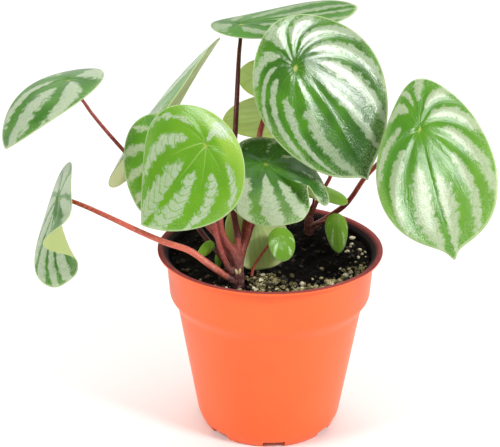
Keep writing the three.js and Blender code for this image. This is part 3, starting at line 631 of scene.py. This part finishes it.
def leaf_blade(leaf):
    """A flat disc spun from a row of points, bent by the leaf's formula, then given two faces."""
    bm = bmesh.new()
    row = [bm.verts.new((k / leaf.rings, 0, 0)) for k in range(leaf.rings + 1)]
    for a, b in zip(row, row[1:]):
        bm.edges.new((a, b))
    bmesh.ops.spin(bm, geom=bm.verts[:] + bm.edges[:], cent=(0, 0, 0), axis=(0, 0, 1),
                   angle=math.tau, steps=leaf.turns, use_merge=True)
    bmesh.ops.remove_doubles(bm, verts=bm.verts, dist=1e-5)
    for face in bm.faces:
        if face.normal.z < 0:
            face.normal_flip()
    vein = bm.loops.layers.uv.new("vein")
    silver = bm.verts.layers.float.new("silver")
    painted_light_and_shade = bm.verts.layers.float.new("painted_light_and_shade")
    count = len(leaf.veins)
    axes = leaf_axes(leaf)
    places, halves = {}, {}
    for vert in bm.verts:
        rho = min(1, vert.co.xy.length)
        step = math.atan2(vert.co.y, vert.co.x)
        turn = step - STEP_SHIFT * math.sin(step)
        places[vert] = vein_place(leaf, rho, turn)
        vert[silver], vert[painted_light_and_shade] = places[vert][2:]
        vert.co = axes @ leaf_local(leaf, rho, turn)
        halves[vert] = BLADE_HALF + (EDGE_HALF - BLADE_HALF) * rho ** 3
    for face in bm.faces:
        outer = [places[loop.vert][0] for loop in face.loops if places[loop.vert][1] > 0.01]
        for loop in face.loops:
            passed, share, _, _ = places[loop.vert]
            if share <= 0.01:
                passed = sum(outer) / len(outer)
            near_first = (passed - outer[0] + count / 2) % count - count / 2
            loop[vein].uv = (outer[0] + near_first, share)
    bm.normal_update()
    upper_edges = [e for e in bm.edges if e.is_boundary]
    normals = {vert: vert.normal.copy() for vert in bm.verts}
    copied = bmesh.ops.duplicate(bm, geom=bm.verts[:] + bm.edges[:] + bm.faces[:])
    partner = copied["vert_map"]
    lower_faces = [g for g in copied["geom"] if isinstance(g, bmesh.types.BMFace)]
    for vert, normal in normals.items():
        partner[vert].co = vert.co - normal * halves[vert]
        vert.co = vert.co + normal * halves[vert]
    bmesh.ops.reverse_faces(bm, faces=lower_faces)
    lower_set = set(lower_faces)
    lower_edges = [e for e in bm.edges if e.is_boundary and e.link_faces[0] in lower_set]
    rim = bmesh.ops.bridge_loops(bm, edges=upper_edges + lower_edges)["faces"]
    for index, faces in ((1, lower_faces), (2, rim)):
        for face in faces:
            face.material_index = index
    return bm


SOFT, TISSUE_IOR = "SMOOTHSTEP", 1.42


def vein_nodes(tree, place):
    """Clouds, veins passed, share of the way out, and nearness to a vein: 1 on it."""
    veins = add(tree, "ShaderNodeUVMap", uv_map="vein")
    split = add(tree, "ShaderNodeSeparateXYZ", {"Vector": veins})
    broad = add(tree, "ShaderNodeTexNoise", {"Vector": place, "Scale": 60, "Detail": 1})
    sway = add(tree, "ShaderNodeMapRange", {"Value": broad, "To Min": -0.1, "To Max": 0.1})
    passed = add(tree, "ShaderNodeMath", {0: split.outputs["X"], 1: sway}, operation="ADD")
    away = add(tree, "ShaderNodeMath", {0: passed, 1: 0.5}, operation="PINGPONG")
    near = add(tree, "ShaderNodeMath", {0: away, 1: -2, 2: 1}, operation="MULTIPLY_ADD")
    return broad, passed, split.outputs["Y"], near


def upper_skin(name, light, green, deep, silver, fleck, rungs=0.2, threads=0.15, frost=0.2,
               coat=0.3):
    """The upper skin of a leaf: green along the veins and silver between, with patches of painted
    light and shade, over a waxy gloss.
    """
    finish, tree, place = new_finish(name)
    broad, passed, share, near = vein_nodes(tree, place)
    fill = add(tree, "ShaderNodeAttribute", attribute_name="silver").outputs["Fac"]
    painted_light_and_shade = add(tree, "ShaderNodeAttribute", attribute_name="painted_light_and_shade").outputs["Fac"]

    # Blotches 3 mm across break the edges of the bands
    ragged = add(tree, "ShaderNodeTexNoise",
                 {"Vector": place, "Scale": 300, "Detail": 5, "Roughness": 0.68})
    fray = add(tree, "ShaderNodeMapRange", {"Value": ragged, "From Min": 0.25, "From Max": 0.75,
                                            "To Min": -0.4, "To Max": 0.4})
    open_part = add(tree, "ShaderNodeMath", {0: fill, 1: near}, operation="SUBTRACT")
    level = add(tree, "ShaderNodeMath", {0: open_part, 1: fray}, operation="ADD")
    silvered = add(tree, "ShaderNodeMapRange",
                   {"Value": level, "From Min": -0.12, "From Max": 0.22}, interpolation_type=SOFT)

    # The green is deeper in patches of 17 mm. The cells that fleck the silver are finer than the
    # 0.8 mm here, which is as fine as shows
    flecks = add(tree, "ShaderNodeTexNoise", {"Vector": place, "Scale": 1300, "Detail": 3})
    mottled = layer(tree, green, deep, broad, 0.35, 0.65, 0.6, SOFT)
    # Painted light and shade: where the leaf's per-vertex value is below 0 the green deepens as
    # painted shade, and above 0 it lightens as painted light
    green_lit_and_shaded = layer(tree, layer(tree, mottled, deep, painted_light_and_shade, 0, -1), light, painted_light_and_shade)
    dusted = layer(tree, green_lit_and_shaded, fleck, flecks, 0.5, 0.8, 0.25, SOFT)
    shine = layer(tree, silver, fleck, flecks, 0.38, 0.68, 0.6, SOFT)
    # The silver is deepened by the same painted shade
    shade_painted_silver = layer(tree, shine, deep, painted_light_and_shade, 0, -1, 0.55)

    # Fine green rungs cross the silver from vein to vein
    slant = add(tree, "ShaderNodeMath", {0: share, 1: 11, 2: near}, operation="MULTIPLY_ADD")
    wobble = add(tree, "ShaderNodeMath", {0: ragged, 1: 1.1, 2: slant}, operation="MULTIPLY_ADD")
    rung_part = add(tree, "ShaderNodeMath", {0: wobble}, operation="FRACT")
    crossed = layer(tree, shade_painted_silver, green, rung_part, 0.2, 0.08, rungs, SOFT)
    banded = layer(tree, dusted, crossed, silvered)

    # The main veins show as pale threads near the eye, which is a yellow spot
    beside = add(tree, "ShaderNodeMath", {0: 1, 1: near}, operation="SUBTRACT")
    off_vein = add(tree, "ShaderNodeMath", {0: beside, 1: share}, operation="MULTIPLY")
    fading = add(tree, "ShaderNodeMapRange", {"Value": share, "From Min": 0.6, "From Max": 0.05,
                                              "To Max": threads}, interpolation_type=SOFT)
    veined = layer(tree, banded, "#a9c86c", off_vein, 0.03, 0.008, fading, SOFT)
    spotted = layer(tree, veined, "#adb94e", share, 0.06, 0.025, 0.7, SOFT)

    # The margin is frosted with pale cells and ends in a thin cream hem
    rime = add(tree, "ShaderNodeMapRange", {"Value": share, "From Min": 0.78, "To Max": frost},
               interpolation_type=SOFT)
    frosted = layer(tree, spotted, "#cfdbb8", flecks, 0.4, 0.6, rime, SOFT)
    tint = layer(tree, frosted, "#bcd098", share, 0.972, 0.992, 0.7, SOFT)

    # Fine wrinkles along the veins and pebbly cells break up the gloss
    spread = add(tree, "ShaderNodeCombineXYZ", {"X": passed, "Y": share})
    stretched = add(tree, "ShaderNodeMapping", {"Vector": spread, "Scale": (14, 5, 1)})
    wrinkle = add(tree, "ShaderNodeTexNoise",
                  {"Vector": stretched, "Scale": 1, "Detail": 4, "Distortion": 0.8})
    relief = add(tree, "ShaderNodeMath", {0: wrinkle, 1: 0.8, 2: flecks},
                 operation="MULTIPLY_ADD")
    bump = add(tree, "ShaderNodeBump", {"Height": relief, "Strength": 0.6, "Distance": 0.0003})
    ripple = add(tree, "ShaderNodeBump", {"Height": relief, "Strength": 0.6, "Distance": 0.0001})
    polish = add(tree, "ShaderNodeMapRange", {"Value": silvered, "To Min": 0.32, "To Max": 0.4},
                 interpolation_type=SOFT)
    close_finish(tree, {
        "Base Color": tint, "Roughness": polish, "Normal": bump, "IOR": 1.4,
        "Specular IOR Level": 0.06, "Coat Weight": coat, "Coat Roughness": 0.13,
        "Coat Normal": ripple, "Subsurface Weight": 0.08, "Subsurface Radius": (0.6, 1, 0.2),
        "Subsurface Scale": 0.001})
    return finish


def under_skin(name, pale, vein_tint, glow=0.15):
    """The pale matt underside, its veins a little darker. A thin one glows with the light."""
    finish, tree, place = new_finish(name)
    _, _, _, near = vein_nodes(tree, place)
    clouds = add(tree, "ShaderNodeTexNoise", {"Vector": place, "Scale": 90, "Detail": 4})
    most = add(tree, "ShaderNodeMath", {0: clouds, 1: 0.6}, operation="MULTIPLY")
    cells = add(tree, "ShaderNodeTexNoise", {"Vector": place, "Scale": 1200, "Detail": 2})
    bump = add(tree, "ShaderNodeBump", {"Height": cells, "Strength": 0.15, "Distance": 0.0004})
    close_finish(tree, {
        "Base Color": layer(tree, pale, vein_tint, near, 0.6, 1, most, SOFT), "Roughness": 0.5,
        "Normal": bump, "IOR": TISSUE_IOR, "Subsurface Weight": glow,
        "Subsurface Radius": (0.8, 1, 0.3), "Subsurface Scale": 0.001 + 0.001 * glow})
    return finish


# In each skin the first colour is the painted light, and the deep one is both the leaf's darker
# green and its painted shade
SKINS = {
    "silver": upper_skin("leaf_silver_banded", "#80ae3e", "#468010", "#1d4c06", "#a4b496",
                         "#76925f", coat=0.8),
    "silver_open": upper_skin("leaf_silver_open", "#90b850", "#5a9618", "#3c7c0a", "#b4c29e",
                              "#86a46a", coat=0.8),
    "pale": upper_skin("leaf_silver_pale", "#80a84a", "#487e22", "#2c6014", "#adbb9e", "#88a074"),
    "dusky": upper_skin("leaf_silver_dusky", "#7ca846", "#457e1a", "#285c0c", "#95a784",
                        "#769260", frost=0.1, coat=0.05),
    "fresh": upper_skin("leaf_fresh_green", "#9cc244", "#6aa21c", "#569214", "#b4c4a6",
                        "#92b276", rungs=0.8, threads=0.6, frost=0.1, coat=0.5),
    "shaded": upper_skin("leaf_shaded", "#90b85c", "#4a8a1a", "#1a4c08", "#c0ceae", "#90ae78",
                         frost=0.5, coat=0.45),
    "young": upper_skin("leaf_young_green", "#acd862", "#88b838", "#5c9226", "#bcd89e",
                        "#98c868", rungs=0.1, threads=0.4, frost=0.1, coat=0.2),
}
UNDERS = {
    "pale": under_skin("leaf_underside", "#b8c684", "#90a85c"),
    "thin": under_skin("leaf_underside_thin", "#c6d694", "#a2be6c", 0.7),
}
margin_skin = under_skin("leaf_margin", "#b0c088", "#90ac64")

for leaf in LEAVES:
    finishes = [SKINS[leaf.skin], UNDERS[leaf.under], margin_skin]
    make_piece(leaf_blade(leaf), f"blade_{leaf.name}", finishes,
               [f"leaf_{leaf.name}"],
               sharp=180)

# THE STALKS
# One juicy red stalk carries each leaf. It is thicker where it leaves the crown, and it widens
# a little again just under the blade. Its skin is streaked and flecked along its length.
STALK_SIDES = 18
LINE_STEP = 1.6
APPROACH, SHORT_APPROACH, SET_BACK = 5, 0.1, 0.25
COLLAR_SWELL, COLLAR_LONG = 0.25, 1.5
STUB_MORE, STUB_LAP = 2, 2


def smooth_line(points):
    """A smooth line through the points, with knots spaced by the root of their distances."""
    points = [Vector(p) for p in points]
    ends = [2 * points[0] - points[1], *points, 2 * points[-1] - points[-2]]
    line = []
    for a, b, c, d in zip(ends, ends[1:], ends[2:], ends[3:]):
        t1 = math.sqrt((b - a).length)
        t2 = t1 + math.sqrt((c - b).length)
        t3 = t2 + math.sqrt((d - c).length)
        steps = max(2, round((c - b).length / LINE_STEP))
        for i in range(steps):
            t = t1 + (t2 - t1) * i / steps
            ab, bc, cd = (a.lerp(b, t / t1), b.lerp(c, (t - t1) / (t2 - t1)),
                          c.lerp(d, (t - t2) / (t3 - t2)))
            abc, bcd = ab.lerp(bc, t / t2), bc.lerp(cd, (t - t1) / (t3 - t1))
            line.append(abc.lerp(bcd, (t - t1) / (t2 - t1)))
    line.append(points[-1])
    return line


def distances(line):
    """How far along the line each of its points lies."""
    far = [0]
    for a, b in zip(line, line[1:]):
        far.append(far[-1] + (b - a).length)
    return far


def grow_stalk(bm, line, radii, shares):
    """Extrudes a ring along the line, turning and scaling it at each point, and closes the ends."""
    along = bm.verts.layers.float.get("along") or bm.verts.layers.float.new("along")
    ahead = [(b - a).normalized() for a, b in zip(line, line[1:])]
    ahead = [ahead[0], *((a + b).normalized() for a, b in zip(ahead, ahead[1:])), ahead[-1]]
    where = Matrix.Translation(line[0]) @ ahead[0].to_track_quat("Z", "Y").to_matrix().to_4x4()
    verts = bmesh.ops.create_circle(bm, cap_ends=True, segments=STALK_SIDES, radius=radii[0],
                                    matrix=where)["verts"]
    edges = list({e for v in verts for e in v.link_edges})
    for vert in verts:
        vert[along] = shares[0]
    for i in range(1, len(line)):
        step = ahead[i - 1].rotation_difference(ahead[i]).to_matrix().to_4x4()
        grown = bmesh.ops.extrude_edge_only(bm, edges=edges)["geom"]
        verts = [g for g in grown if isinstance(g, bmesh.types.BMVert)]
        edges = [g for g in grown if isinstance(g, bmesh.types.BMEdge)]
        scale = Matrix.Scale(radii[i] / radii[i - 1], 4)
        bmesh.ops.transform(bm, verts=verts, matrix=Matrix.Translation(line[i]) @ step @ scale
                            @ Matrix.Translation(-line[i - 1]))
        for vert in verts:
            vert[along] = shares[i]
    bmesh.ops.contextual_create(bm, geom=edges)


def stem_skin(name, tones, stops, fleck, most, grain, depth, rough, glow=0, along=""):
    """Juicy stem skin with flecks of about 1 mm. Its three tones change along the stalk, or else
    with height."""
    finish, tree, place = new_finish(name)
    if along:
        value = add(tree, "ShaderNodeAttribute", attribute_name=along).outputs["Fac"]
    else:
        value = add(tree, "ShaderNodeSeparateXYZ", {"Vector": place}).outputs["Z"]
    lower = layer(tree, tones[0], tones[1], value, stops[0], stops[1])
    changing = layer(tree, lower, tones[2], value, stops[1], stops[2])
    speckle = add(tree, "ShaderNodeTexNoise", {"Vector": place, "Scale": grain[0],
                                               "Detail": grain[1]})
    ridges = add(tree, "ShaderNodeBump", {"Height": speckle, "Strength": depth[0],
                                          "Distance": depth[1]})
    close_finish(tree, {
        "Base Color": layer(tree, changing, fleck, speckle, 0.5, 0.72, most), "Roughness": rough,
        "Normal": ridges, "IOR": TISSUE_IOR, "Subsurface Weight": glow,
        "Subsurface Radius": (1, 0.25, 0.2), "Subsurface Scale": 0.001})
    return finish


# The maroon skin is a darker copy of the red one: painted shade, for the stalks that lie under the
# big leaves
STALK_SKINS = {
    name: stem_skin(f"stalk_{name}", tones, (0, 0.3, 1), fleck, 0.6, (900, 3), (0.25, 0.0004),
                    0.36, glow=0.12, along="along")
    for name, tones, fleck in (("red", ("#7d3a36", "#983c32", "#8c332b"), "#c07a6c"),
                               ("salmon", ("#a9564a", "#d66c56", "#a8402f"), "#e8a08a"),
                               ("shaded_maroon", ("#6b3034", "#531a18", "#441310"), "#86463e"))
}
crown_stubs = {"front": [], "rear": []}
for leaf in LEAVES:
    axes = leaf_axes(leaf)
    face = axes.to_3x3() @ Vector((0, 0, 1))
    joint = axes @ leaf_local(leaf, 0, 0)
    reach = min(APPROACH, leaf.length * SHORT_APPROACH)
    line = smooth_line([*leaf.route, joint - face * reach, joint - face * SET_BACK])
    far = distances(line)
    thick, thin = leaf.radii
    shares = [s / far[-1] for s in far]
    radii = [(thick + (thin - thick) * share)
             * (1 + COLLAR_SWELL * math.exp(-((far[-1] - s) / COLLAR_LONG) ** 2))
             for s, share in zip(far, shares)]
    first = 0
    if leaf.crown != "soil":
        last = next(i for i, s in enumerate(far) if s > leaf.stub + STUB_MORE)
        crown_stubs[leaf.crown].append((line[:last + 1], radii[:last + 1]))
        first = last - STUB_LAP
    stalk_bm = bmesh.new()
    grow_stalk(stalk_bm, line[first:], radii[first:], shares[first:])
    make_piece(stalk_bm, f"stalk_{leaf.name}", [STALK_SKINS[leaf.stalk]],
               [f"petiole_{leaf.name}"], sharp=60)

# THE CROWNS
# Two short fleshy necks at the soil, where old stalks have thickened and grown together. The
# new stalks branch out of them, with two cream buds in the fork of the front one.
NECKS = {
    "front": ([(-16.3, -36, 84), (-16.3, -36, 95), (-16.6, -35.4, 103), (-17, -34.6, 110.5)],
              (3.4, 2.6)),
    "rear": ([(21.5, 29, 85), (21.5, 29, 97), (21.7, 29, 104), (21.7, 29, 110)], (3.3, 2.3)),
}
NECK_RING, NECK_RINGS_PER_MM = 0.06, 1.9
STUB_SWELL, STUB_FADE = 0.35, 4
CROWN_VOXEL = 0.4

# Old stem skin is a dull mauve brown, flecked by scars, and darker towards the soil
crown_finish = stem_skin("crown_skin", ("#3a1a1a", "#74403c", "#964438"), (0.096, 0.1059, 0.118),
                         "#b58a80", 0.5, (700, 5), (0.5, 0.0008), 0.5)
for name, (neck, (wide, slim)) in NECKS.items():
    crown_bm = bmesh.new()
    line = smooth_line(neck)
    far = distances(line)
    neck_radii = [(wide + (slim - wide) * s / far[-1])
                  * (1 + NECK_RING * math.sin(s * NECK_RINGS_PER_MM)) for s in far]
    grow_stalk(crown_bm, line, neck_radii, [0] * len(line))
    for stub_line, stub_radii in crown_stubs[name]:
        swollen = [r * (1 + STUB_SWELL * math.exp(-(i / STUB_FADE) ** 2))
                   for i, r in enumerate(stub_radii)]
        grow_stalk(crown_bm, stub_line, swollen, [0] * len(stub_line))
    piece = make_piece(crown_bm, f"crown_{name}_body", [crown_finish], [f"crown_{name}"])
    fuse = piece.modifiers.new("fuse", "REMESH")
    fuse.mode, fuse.voxel_size, fuse.use_smooth_shade = "VOXEL", CROWN_VOXEL * MM, True
    soften = piece.modifiers.new("soften", "SMOOTH")
    soften.factor, soften.iterations = 0.5, 3
    keep_result(piece)
    piece.data.shade_smooth()

BUDS = ((-17.6, -38.6, 104.2, -14), (-15.9, -38.8, 104.6, 10))
BUD_R, BUD_HALF = 0.75, 1.7
bud_bm = bmesh.new()
for x, y, z, lean in BUDS:
    where = Matrix.Translation((x, y, z)) @ Matrix.Rotation(math.radians(lean), 4, "Y")
    bmesh.ops.create_uvsphere(bud_bm, u_segments=16, v_segments=12, radius=1,
                              matrix=where @ Matrix.Diagonal((BUD_R, BUD_R, BUD_HALF, 1)))
cream_bud = under_skin("cream_bud_scale", "#d8c49a", "#c2a070")
make_piece(bud_bm, "crown_buds", [cream_bud])

# THE SHOOT
# A green shoot just breaking the soil, its first leaf still rolled round it. The fold of the
# rolled leaf winds up its side.
SHOOT_AT, SHOOT_STEPS, FOLD_DEEP, FOLD_WIND = (-27.3, -15), 28, 0.22, 0.25
shoot_bm = spun([(0, 90, 0), (1.2, 90, 0), (1.2, 96, 0.5), (1.9, 99.5, 1), (1.8, 102.5, 1),
                 (1, 105.2, 0.5), (0, 106.4, 0)], SHOOT_STEPS)
for vert in shoot_bm.verts:
    turn = math.atan2(vert.co.y, vert.co.x)
    fold = 1 - FOLD_DEEP * max(0, math.cos(turn + vert.co.z * FOLD_WIND)) ** 6
    vert.co.x, vert.co.y = vert.co.x * fold + SHOOT_AT[0], vert.co.y * fold + SHOOT_AT[1]

# Young tissue, smooth and a little glossy, with streaks of two greens 3 mm wide
shoot_skin, tree, place = new_finish("shoot_green")
streaks = add(tree, "ShaderNodeTexNoise", {"Vector": place, "Scale": 300, "Detail": 3})
close_finish(tree, {"Base Color": layer(tree, "#6ca032", "#a0cc54", streaks), "Roughness": 0.4,
                    "IOR": TISSUE_IOR})
make_piece(shoot_bm, "green_shoot", [shoot_skin], ["bud"], sharp=60)

# THE STUDIO
# A white sheet under the pot. Two small soft lamps at the front give the leaves their gloss, and
# two big ones light the plant from above and whiten the sheet behind it. The camera stands
# where the photograph was taken, looking down a little.
SHEET_HALF, SHEET_DROP = 4, 0.0002
floor_bm = bmesh.new()
bmesh.ops.create_grid(floor_bm, x_segments=1, y_segments=1, size=SHEET_HALF)
sheet = put_mesh("white_sheet", floor_bm, 1)
sheet.location.z = -SHEET_DROP

# Plain matt paper, which shows only a soft shadow
paper, tree, _ = new_finish("white_paper")
close_finish(tree, {"Base Color": "#fbfbfa", "Roughness": 0.9, "Specular IOR Level": 0.1})
sheet.data.materials.append(paper)

AIM = Vector((-10.8, 0, 115)) * MM


def soft_lamp(name, turn, height, away, size, watts):
    """A square soft lamp, turned about the plant from the front, aimed at its middle."""
    data = bpy.data.lights.new(name, "AREA")
    data.shape, data.size, data.energy = "SQUARE", size, watts
    lamp = put_in_scene(name, data)
    a, e = math.radians(turn), math.radians(height)
    back = Vector((math.sin(a) * math.cos(e), -math.cos(a) * math.cos(e), math.sin(e)))
    lamp.location = AIM + back * away
    lamp.rotation_mode = "QUATERNION"
    lamp.rotation_quaternion = back.to_track_quat("Z", "Y")


soft_lamp("front_right_lamp", 52, 36, 1.3, 0.3, 10.5)
soft_lamp("front_left_lamp", -60, 38, 1.3, 0.4, 8)
soft_lamp("overhead_lamp", 180, 68, 1.7, 1.6, 14)
soft_lamp("back_wall_lamp", 180, 20, 1.7, 2.2, 10)

ROOM_LIGHT, ROOM_SEEN = 0.36, 1.1
world = bpy.data.worlds.new("white_room")
bpy.context.scene.world = world
world.use_nodes = True
tree = world.node_tree
tree.nodes.clear()
seen = add(tree, "ShaderNodeLightPath").outputs["Is Camera Ray"]
strength = add(tree, "ShaderNodeMapRange",
               {"Value": seen, "To Min": ROOM_LIGHT, "To Max": ROOM_SEEN})
room = add(tree, "ShaderNodeBackground", {"Color": (1, 1, 1, 1), "Strength": strength})
add(tree, "ShaderNodeOutputWorld", {"Surface": room})

PITCH, ROLL, DISTANCE, LENS = 22.45, 0.3, 0.795, 108
camera_data = bpy.data.cameras.new("camera")
camera_data.lens, camera_data.sensor_width = LENS, 36
camera = put_in_scene("camera", camera_data)
tilt = math.radians(PITCH)
camera.location = AIM + Vector((0, -math.cos(tilt), math.sin(tilt))) * DISTANCE
looking = (Matrix.Rotation(math.radians(90) - tilt, 4, "X")
           @ Matrix.Rotation(math.radians(ROLL), 4, "Z"))
camera.rotation_euler = looking.to_euler()
bpy.context.scene.camera = camera
bpy.context.scene.view_settings.view_transform = "Standard"
